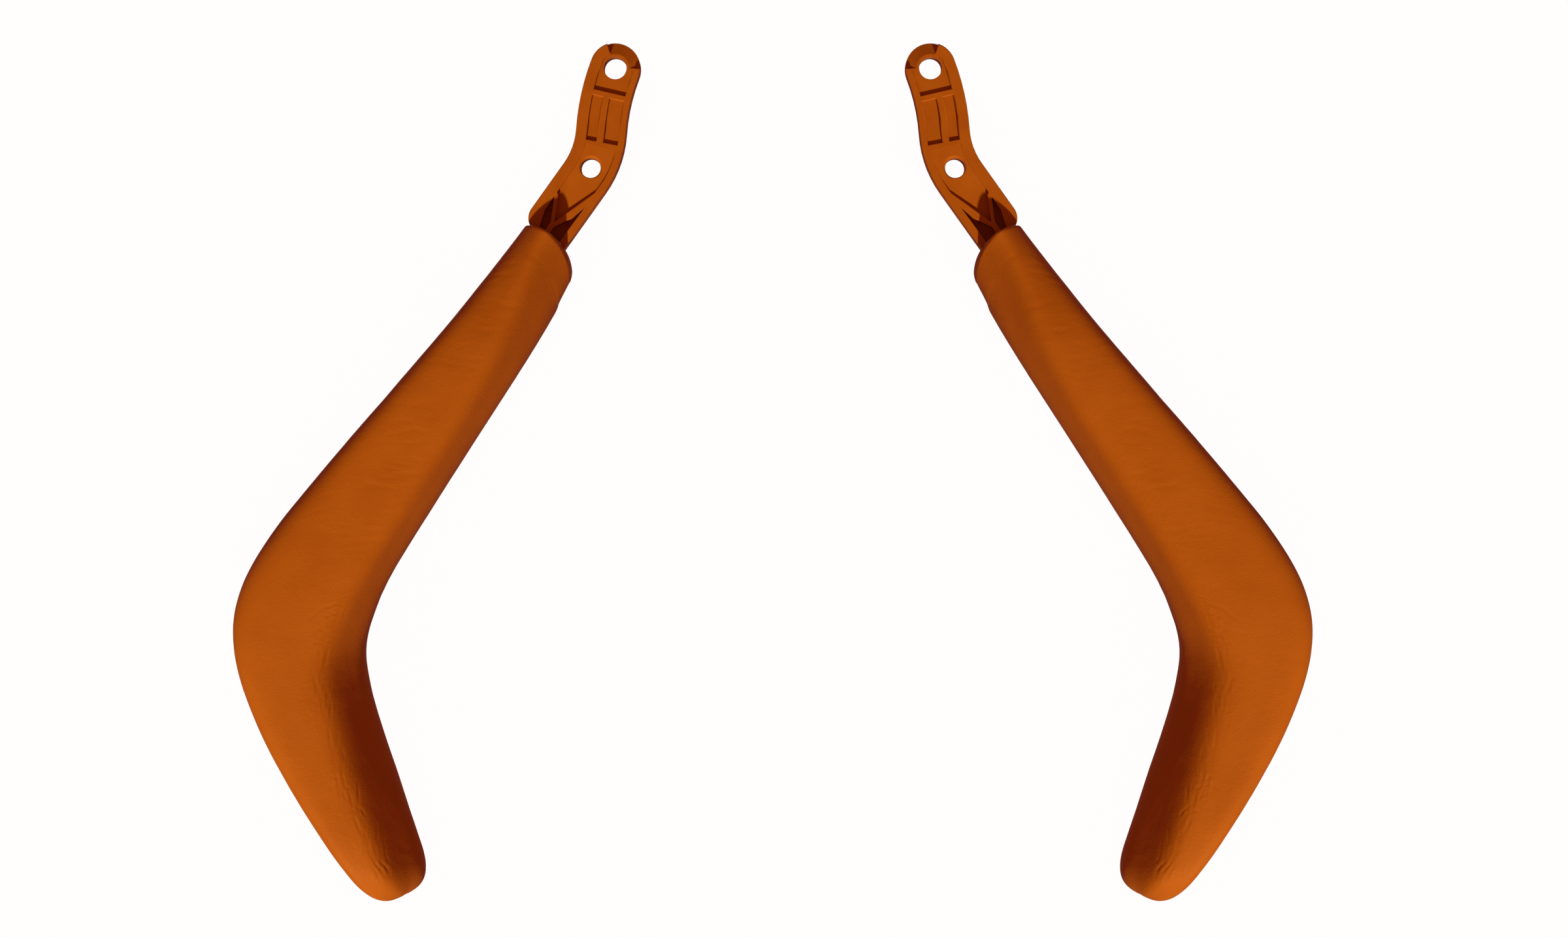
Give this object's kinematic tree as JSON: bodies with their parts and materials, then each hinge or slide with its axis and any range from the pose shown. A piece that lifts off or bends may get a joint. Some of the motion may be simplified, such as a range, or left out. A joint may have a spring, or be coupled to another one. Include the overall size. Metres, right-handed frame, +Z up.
{
  "type": "chair armrest pair",
  "caption": "Left and right padded leather armrests, boomerang-shaped, each with a ribbed two-hole mounting bracket at its upper end.",
  "frame": {"origin": "centre of the pair's bounding box in plan, on the surface that the arms lie on", "axes": "+X from the left arm to the right arm, +Y towards the mounting brackets, +Z up, out of the arms' padded front"},
  "size_m": [0.5792, 0.4627, 0.0515],
  "materials": {
    "moulding": "satin glass-filled nylon moulding, colour matched to the leather",
    "leather_front": "semi-aniline grained upholstery leather, orange brown, soft sheen",
    "leather_back": "the same leather, closing panel on the back",
    "thread": "bonded polyester sewing thread",
    "wadding": "white polyester wadding",
    "foam": "open-cell polyurethane foam",
    "inner_plastic": "black injection-moulded stiffener",
    "zinc_steel": "zinc-plated screws",
    "staple_steel": "galvanised staples"
  },
  "bodies": {
    "left_arm": {"arm_frame_left": "moulding", "front_cover_left": "leather_front", "back_cover_left": "leather_back", "seam_thread_left": "thread", "wadding_left": "wadding", "foam_front_left": "foam", "foam_back_left": "foam", "collar_plate_left": "inner_plastic", "collar_screws_left": "zinc_steel", "staples_left": "staple_steel"},
    "right_arm": {"arm_frame_right": "moulding", "front_cover_right": "leather_front", "back_cover_right": "leather_back", "seam_thread_right": "thread", "wadding_right": "wadding", "foam_front_right": "foam", "foam_back_right": "foam", "collar_plate_right": "inner_plastic", "collar_screws_right": "zinc_steel", "staples_right": "staple_steel"}
  },
  "joints": [
    {"name": "right_arm_lift", "type": "slide", "parent": "left_arm", "child": "right_arm", "axis": [0, 0, 1], "range_m": [0, 0.25]}
  ]
}
